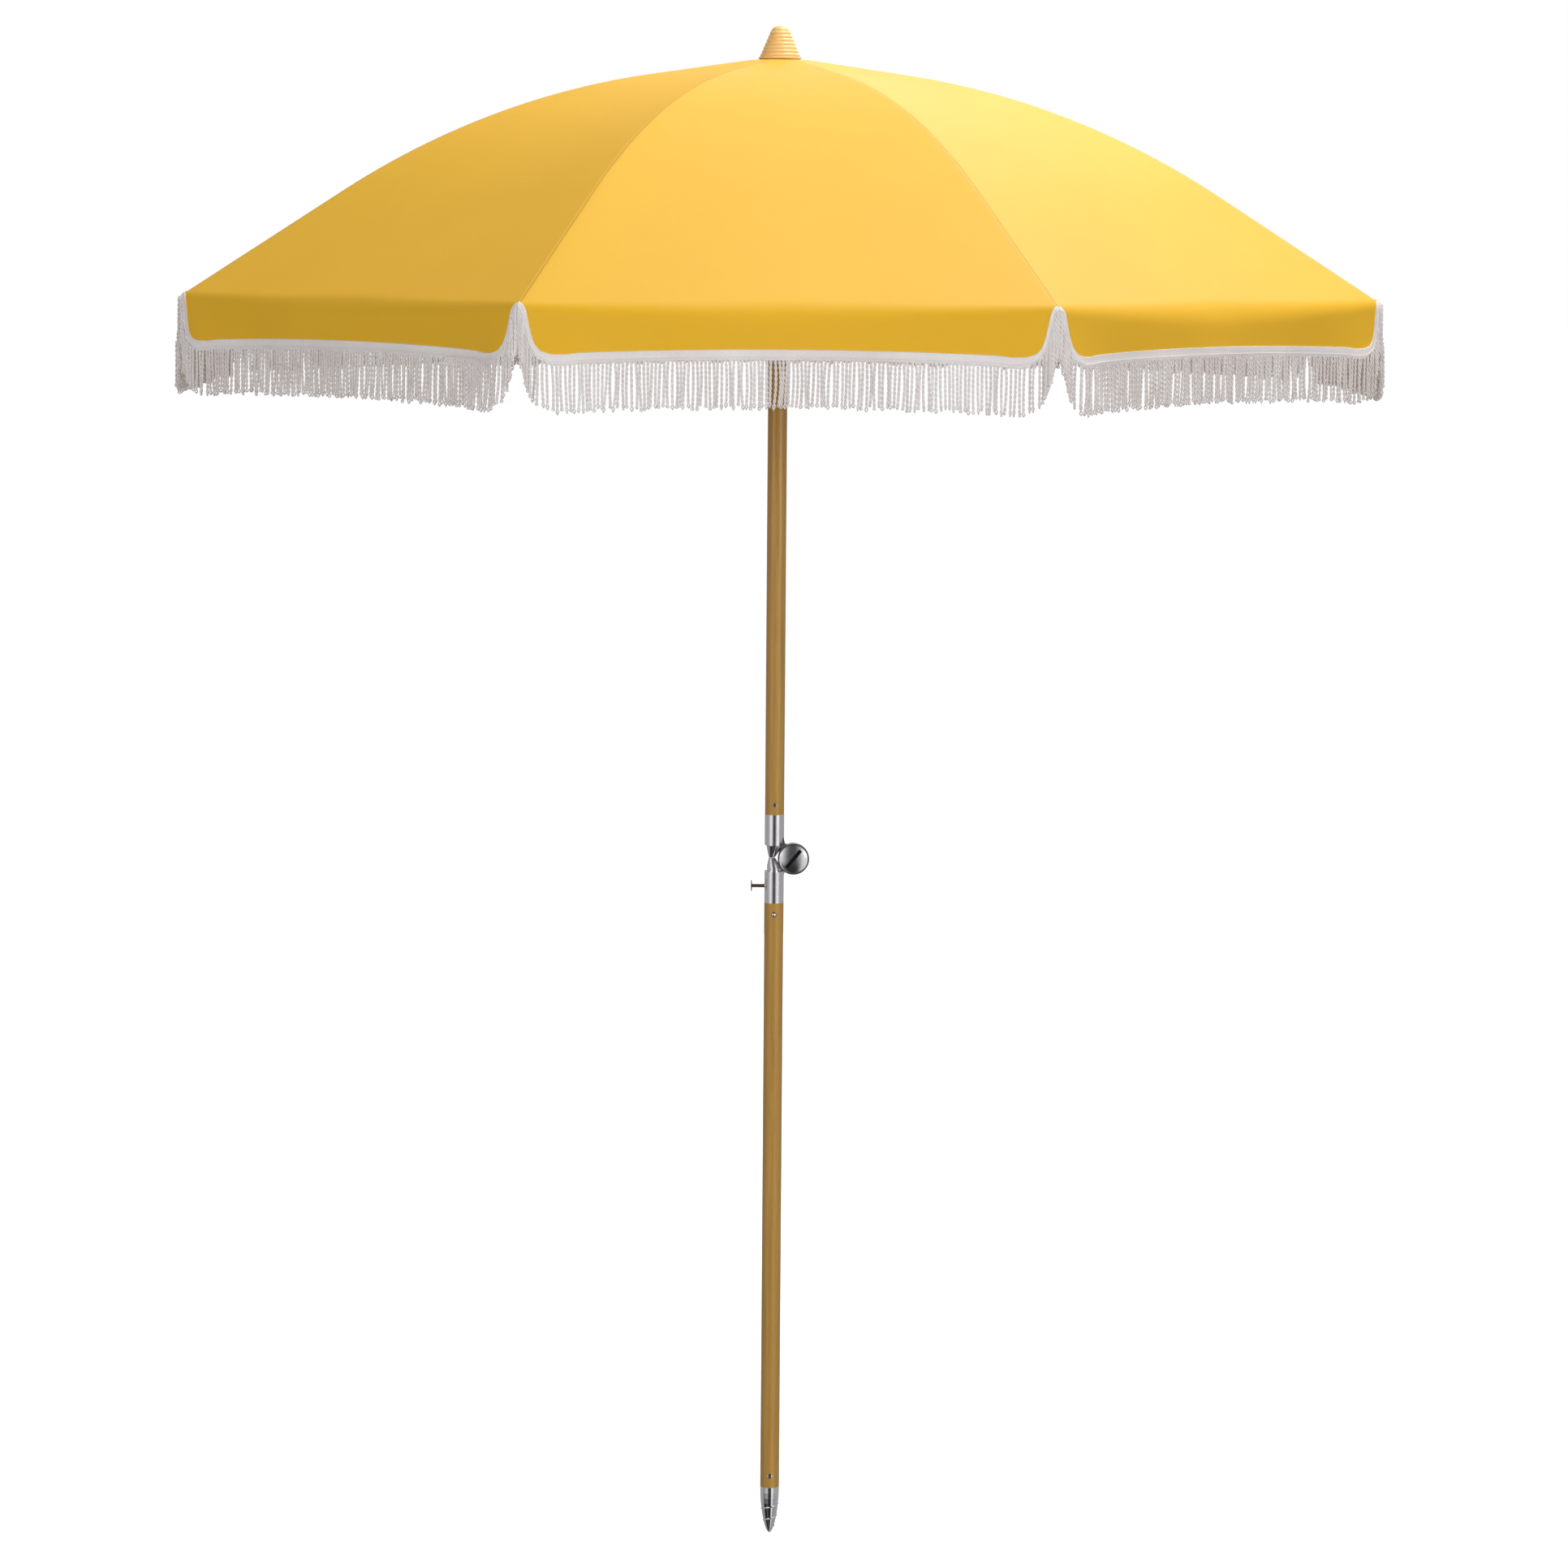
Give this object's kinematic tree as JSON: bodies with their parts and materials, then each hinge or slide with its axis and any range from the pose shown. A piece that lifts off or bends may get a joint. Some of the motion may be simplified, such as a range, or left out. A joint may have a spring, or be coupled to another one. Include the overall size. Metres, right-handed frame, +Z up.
{
  "type": "beach umbrella",
  "caption": "Fringed beach umbrella with a curved fabric canopy on folding ribs, a runner, a tilting two-part pole with a coin-slot knob, and a ridged ground spike.",
  "frame": {"origin": "point of the ground spike, on the axis of the lower pole", "axes": "+Z up the pole, -Y the side of the tilt knob's face, +X the side of the tilt pivot"},
  "size_m": [1.493, 1.493, 2.0096],
  "materials": {
    "chrome": "polished chrome plate",
    "satin_metal": "satin cast aluminium",
    "wood_look": "wood-grain wrap under clear gloss on steel tube",
    "spring_steel": "bare spring steel",
    "frame_steel": "white powder coat on steel rod",
    "hub_plastic": "moulded ivory plastic",
    "finial_plastic": "satin tan plastic",
    "canopy_cloth": "plain weave polyester canvas",
    "fringe_cord": "twisted cotton bullion"
  },
  "bodies": {
    "lower_body": {"ground_spike": "chrome", "spike_rivet": "chrome", "lower_pole": "wood_look", "coupling_tube": "spring_steel", "lower_hinge": "satin_metal", "knob_nut": "spring_steel", "hinge_spring": "spring_steel", "pin_spring": "spring_steel"},
    "knob": {"tilt_knob": "chrome"},
    "pull_pin": {"pull_pin": "chrome"},
    "snap_button": {"snap_button": "chrome"},
    "upper_body": {"upper_hinge": "satin_metal", "upper_rivet": "chrome", "upper_pole": "wood_look", "crown_hub": "hub_plastic", "crown_wire": "spring_steel", "finial": "finial_plastic"},
    "catch": {"runner_catch": "spring_steel"},
    "runner": {"runner": "hub_plastic", "runner_wire": "spring_steel"},
    "rib_1_body": {"rib_1": "frame_steel", "canopy_1": "canopy_cloth"},
    "strut_1_body": {"strut_1": "frame_steel"},
    "hem_1_body": {"valance_1": "canopy_cloth", "fringe_1": "fringe_cord"},
    "rib_2_body": {"rib_2": "frame_steel", "canopy_2": "canopy_cloth"},
    "strut_2_body": {"strut_2": "frame_steel"},
    "hem_2_body": {"valance_2": "canopy_cloth", "fringe_2": "fringe_cord"},
    "rib_3_body": {"rib_3": "frame_steel", "canopy_3": "canopy_cloth"},
    "strut_3_body": {"strut_3": "frame_steel"},
    "hem_3_body": {"valance_3": "canopy_cloth", "fringe_3": "fringe_cord"},
    "rib_4_body": {"rib_4": "frame_steel", "canopy_4": "canopy_cloth"},
    "strut_4_body": {"strut_4": "frame_steel"},
    "hem_4_body": {"valance_4": "canopy_cloth", "fringe_4": "fringe_cord"},
    "rib_5_body": {"rib_5": "frame_steel", "canopy_5": "canopy_cloth"},
    "strut_5_body": {"strut_5": "frame_steel"},
    "hem_5_body": {"valance_5": "canopy_cloth", "fringe_5": "fringe_cord"},
    "rib_6_body": {"rib_6": "frame_steel", "canopy_6": "canopy_cloth"},
    "strut_6_body": {"strut_6": "frame_steel"},
    "hem_6_body": {"valance_6": "canopy_cloth", "fringe_6": "fringe_cord"},
    "rib_7_body": {"rib_7": "frame_steel", "canopy_7": "canopy_cloth"},
    "strut_7_body": {"strut_7": "frame_steel"},
    "hem_7_body": {"valance_7": "canopy_cloth", "fringe_7": "fringe_cord"},
    "rib_8_body": {"rib_8": "frame_steel", "canopy_8": "canopy_cloth"},
    "strut_8_body": {"strut_8": "frame_steel"},
    "hem_8_body": {"valance_8": "canopy_cloth", "fringe_8": "fringe_cord"}
  },
  "joints": [
    {"name": "tilt_hinge", "type": "hinge", "parent": "lower_body", "child": "upper_body", "pos_m": [0.0252, 0, 0.917], "axis": [0, 1, 0], "range_deg": [0, 90]},
    {"name": "tilt_knob_turn", "type": "hinge", "parent": "lower_body", "child": "knob", "pos_m": [0.0252, 0, 0.917], "axis": [0, -1, 0], "range_deg": [0, 270]},
    {"name": "pull_pin_slide", "type": "slide", "parent": "lower_body", "child": "pull_pin", "axis": [-1, 0, 0], "range_m": [0, 0.008], "stiffness_N_per_m": 600, "springref_m": -0.004, "deforming": ["pin_spring"]},
    {"name": "snap_button_press", "type": "slide", "parent": "lower_body", "child": "snap_button", "axis": [0, 1, 0], "range_m": [0, 0.0035], "stiffness_N_per_m": 900, "springref_m": -0.002},
    {"name": "catch_press", "type": "slide", "parent": "upper_body", "child": "catch", "axis": [-1, 0, 0], "range_m": [0, 0.0042], "stiffness_N_per_m": 700, "springref_m": -0.002},
    {"name": "runner_slide", "type": "slide", "parent": "upper_body", "child": "runner", "axis": [0, 0, -1], "range_m": [0, 0.49124], "deforming": ["canopy_1", "valance_1", "fringe_1", "canopy_2", "valance_2", "fringe_2", "canopy_3", "valance_3", "fringe_3", "canopy_4", "valance_4", "fringe_4", "canopy_5", "valance_5", "fringe_5", "canopy_6", "valance_6", "fringe_6", "canopy_7", "valance_7", "fringe_7", "canopy_8", "valance_8", "fringe_8", "runner_catch"]},
    {"name": "rib_1_fold", "type": "hinge", "parent": "upper_body", "child": "rib_1_body", "pos_m": [0.02217, 0.00918, 1.957], "axis": [-0.3827, 0.9239, 0], "range_deg": [0, 64.5], "deforming": ["canopy_1"]},
    {"name": "strut_1_fold", "type": "hinge", "parent": "rib_1_body", "child": "strut_1_body", "pos_m": [0.36761, 0.15227, 1.87681], "axis": [0.3827, -0.9239, 0], "range_deg": [0, 111.71]},
    {"name": "hem_1_hang", "type": "hinge", "parent": "rib_1_body", "child": "hem_1_body", "pos_m": [0.74095, 0.30691, 1.66], "axis": [0.3827, -0.9239, 0], "range_deg": [0, 64.5], "deforming": ["valance_1", "fringe_1"]},
    {"name": "rib_2_fold", "type": "hinge", "parent": "upper_body", "child": "rib_2_body", "pos_m": [0.00918, 0.02217, 1.957], "axis": [-0.9239, 0.3827, 0], "range_deg": [0, 64.5], "deforming": ["canopy_2"]},
    {"name": "strut_2_fold", "type": "hinge", "parent": "rib_2_body", "child": "strut_2_body", "pos_m": [0.15227, 0.36761, 1.87681], "axis": [0.9239, -0.3827, 0], "range_deg": [0, 111.71]},
    {"name": "hem_2_hang", "type": "hinge", "parent": "rib_2_body", "child": "hem_2_body", "pos_m": [0.30691, 0.74095, 1.66], "axis": [0.9239, -0.3827, 0], "range_deg": [0, 64.5], "deforming": ["valance_2", "fringe_2"]},
    {"name": "rib_3_fold", "type": "hinge", "parent": "upper_body", "child": "rib_3_body", "pos_m": [-0.00918, 0.02217, 1.957], "axis": [-0.9239, -0.3827, 0], "range_deg": [0, 64.5], "deforming": ["canopy_3"]},
    {"name": "strut_3_fold", "type": "hinge", "parent": "rib_3_body", "child": "strut_3_body", "pos_m": [-0.15227, 0.36761, 1.87681], "axis": [0.9239, 0.3827, 0], "range_deg": [0, 111.71]},
    {"name": "hem_3_hang", "type": "hinge", "parent": "rib_3_body", "child": "hem_3_body", "pos_m": [-0.30691, 0.74095, 1.66], "axis": [0.9239, 0.3827, 0], "range_deg": [0, 64.5], "deforming": ["valance_3", "fringe_3"]},
    {"name": "rib_4_fold", "type": "hinge", "parent": "upper_body", "child": "rib_4_body", "pos_m": [-0.02217, 0.00918, 1.957], "axis": [-0.3827, -0.9239, 0], "range_deg": [0, 64.5], "deforming": ["canopy_4"]},
    {"name": "strut_4_fold", "type": "hinge", "parent": "rib_4_body", "child": "strut_4_body", "pos_m": [-0.36761, 0.15227, 1.87681], "axis": [0.3827, 0.9239, 0], "range_deg": [0, 111.71]},
    {"name": "hem_4_hang", "type": "hinge", "parent": "rib_4_body", "child": "hem_4_body", "pos_m": [-0.74095, 0.30691, 1.66], "axis": [0.3827, 0.9239, 0], "range_deg": [0, 64.5], "deforming": ["valance_4", "fringe_4"]},
    {"name": "rib_5_fold", "type": "hinge", "parent": "upper_body", "child": "rib_5_body", "pos_m": [-0.02217, -0.00918, 1.957], "axis": [0.3827, -0.9239, 0], "range_deg": [0, 64.5], "deforming": ["canopy_5"]},
    {"name": "strut_5_fold", "type": "hinge", "parent": "rib_5_body", "child": "strut_5_body", "pos_m": [-0.36761, -0.15227, 1.87681], "axis": [-0.3827, 0.9239, 0], "range_deg": [0, 111.71]},
    {"name": "hem_5_hang", "type": "hinge", "parent": "rib_5_body", "child": "hem_5_body", "pos_m": [-0.74095, -0.30691, 1.66], "axis": [-0.3827, 0.9239, 0], "range_deg": [0, 64.5], "deforming": ["valance_5", "fringe_5"]},
    {"name": "rib_6_fold", "type": "hinge", "parent": "upper_body", "child": "rib_6_body", "pos_m": [-0.00918, -0.02217, 1.957], "axis": [0.9239, -0.3827, 0], "range_deg": [0, 64.5], "deforming": ["canopy_6"]},
    {"name": "strut_6_fold", "type": "hinge", "parent": "rib_6_body", "child": "strut_6_body", "pos_m": [-0.15227, -0.36761, 1.87681], "axis": [-0.9239, 0.3827, 0], "range_deg": [0, 111.71]},
    {"name": "hem_6_hang", "type": "hinge", "parent": "rib_6_body", "child": "hem_6_body", "pos_m": [-0.30691, -0.74095, 1.66], "axis": [-0.9239, 0.3827, 0], "range_deg": [0, 64.5], "deforming": ["valance_6", "fringe_6"]},
    {"name": "rib_7_fold", "type": "hinge", "parent": "upper_body", "child": "rib_7_body", "pos_m": [0.00918, -0.02217, 1.957], "axis": [0.9239, 0.3827, 0], "range_deg": [0, 64.5], "deforming": ["canopy_7"]},
    {"name": "strut_7_fold", "type": "hinge", "parent": "rib_7_body", "child": "strut_7_body", "pos_m": [0.15227, -0.36761, 1.87681], "axis": [-0.9239, -0.3827, 0], "range_deg": [0, 111.71]},
    {"name": "hem_7_hang", "type": "hinge", "parent": "rib_7_body", "child": "hem_7_body", "pos_m": [0.30691, -0.74095, 1.66], "axis": [-0.9239, -0.3827, 0], "range_deg": [0, 64.5], "deforming": ["valance_7", "fringe_7"]},
    {"name": "rib_8_fold", "type": "hinge", "parent": "upper_body", "child": "rib_8_body", "pos_m": [0.02217, -0.00918, 1.957], "axis": [0.3827, 0.9239, 0], "range_deg": [0, 64.5], "deforming": ["canopy_8"]},
    {"name": "strut_8_fold", "type": "hinge", "parent": "rib_8_body", "child": "strut_8_body", "pos_m": [0.36761, -0.15227, 1.87681], "axis": [-0.3827, -0.9239, 0], "range_deg": [0, 111.71]},
    {"name": "hem_8_hang", "type": "hinge", "parent": "rib_8_body", "child": "hem_8_body", "pos_m": [0.74095, -0.30691, 1.66], "axis": [-0.3827, -0.9239, 0], "range_deg": [0, 64.5], "deforming": ["valance_8", "fringe_8"]}
  ],
  "couplings": [
    {"joint": "rib_1_fold", "follows": "runner_slide", "rad_per_m": 2.2916},
    {"joint": "strut_1_fold", "follows": "runner_slide", "rad_per_m": 3.9686},
    {"joint": "hem_1_hang", "follows": "runner_slide", "rad_per_m": 2.2916},
    {"joint": "rib_2_fold", "follows": "runner_slide", "rad_per_m": 2.2916},
    {"joint": "strut_2_fold", "follows": "runner_slide", "rad_per_m": 3.9686},
    {"joint": "hem_2_hang", "follows": "runner_slide", "rad_per_m": 2.2916},
    {"joint": "rib_3_fold", "follows": "runner_slide", "rad_per_m": 2.2916},
    {"joint": "strut_3_fold", "follows": "runner_slide", "rad_per_m": 3.9686},
    {"joint": "hem_3_hang", "follows": "runner_slide", "rad_per_m": 2.2916},
    {"joint": "rib_4_fold", "follows": "runner_slide", "rad_per_m": 2.2916},
    {"joint": "strut_4_fold", "follows": "runner_slide", "rad_per_m": 3.9686},
    {"joint": "hem_4_hang", "follows": "runner_slide", "rad_per_m": 2.2916},
    {"joint": "rib_5_fold", "follows": "runner_slide", "rad_per_m": 2.2916},
    {"joint": "strut_5_fold", "follows": "runner_slide", "rad_per_m": 3.9686},
    {"joint": "hem_5_hang", "follows": "runner_slide", "rad_per_m": 2.2916},
    {"joint": "rib_6_fold", "follows": "runner_slide", "rad_per_m": 2.2916},
    {"joint": "strut_6_fold", "follows": "runner_slide", "rad_per_m": 3.9686},
    {"joint": "hem_6_hang", "follows": "runner_slide", "rad_per_m": 2.2916},
    {"joint": "rib_7_fold", "follows": "runner_slide", "rad_per_m": 2.2916},
    {"joint": "strut_7_fold", "follows": "runner_slide", "rad_per_m": 3.9686},
    {"joint": "hem_7_hang", "follows": "runner_slide", "rad_per_m": 2.2916},
    {"joint": "rib_8_fold", "follows": "runner_slide", "rad_per_m": 2.2916},
    {"joint": "strut_8_fold", "follows": "runner_slide", "rad_per_m": 3.9686},
    {"joint": "hem_8_hang", "follows": "runner_slide", "rad_per_m": 2.2916}
  ]
}
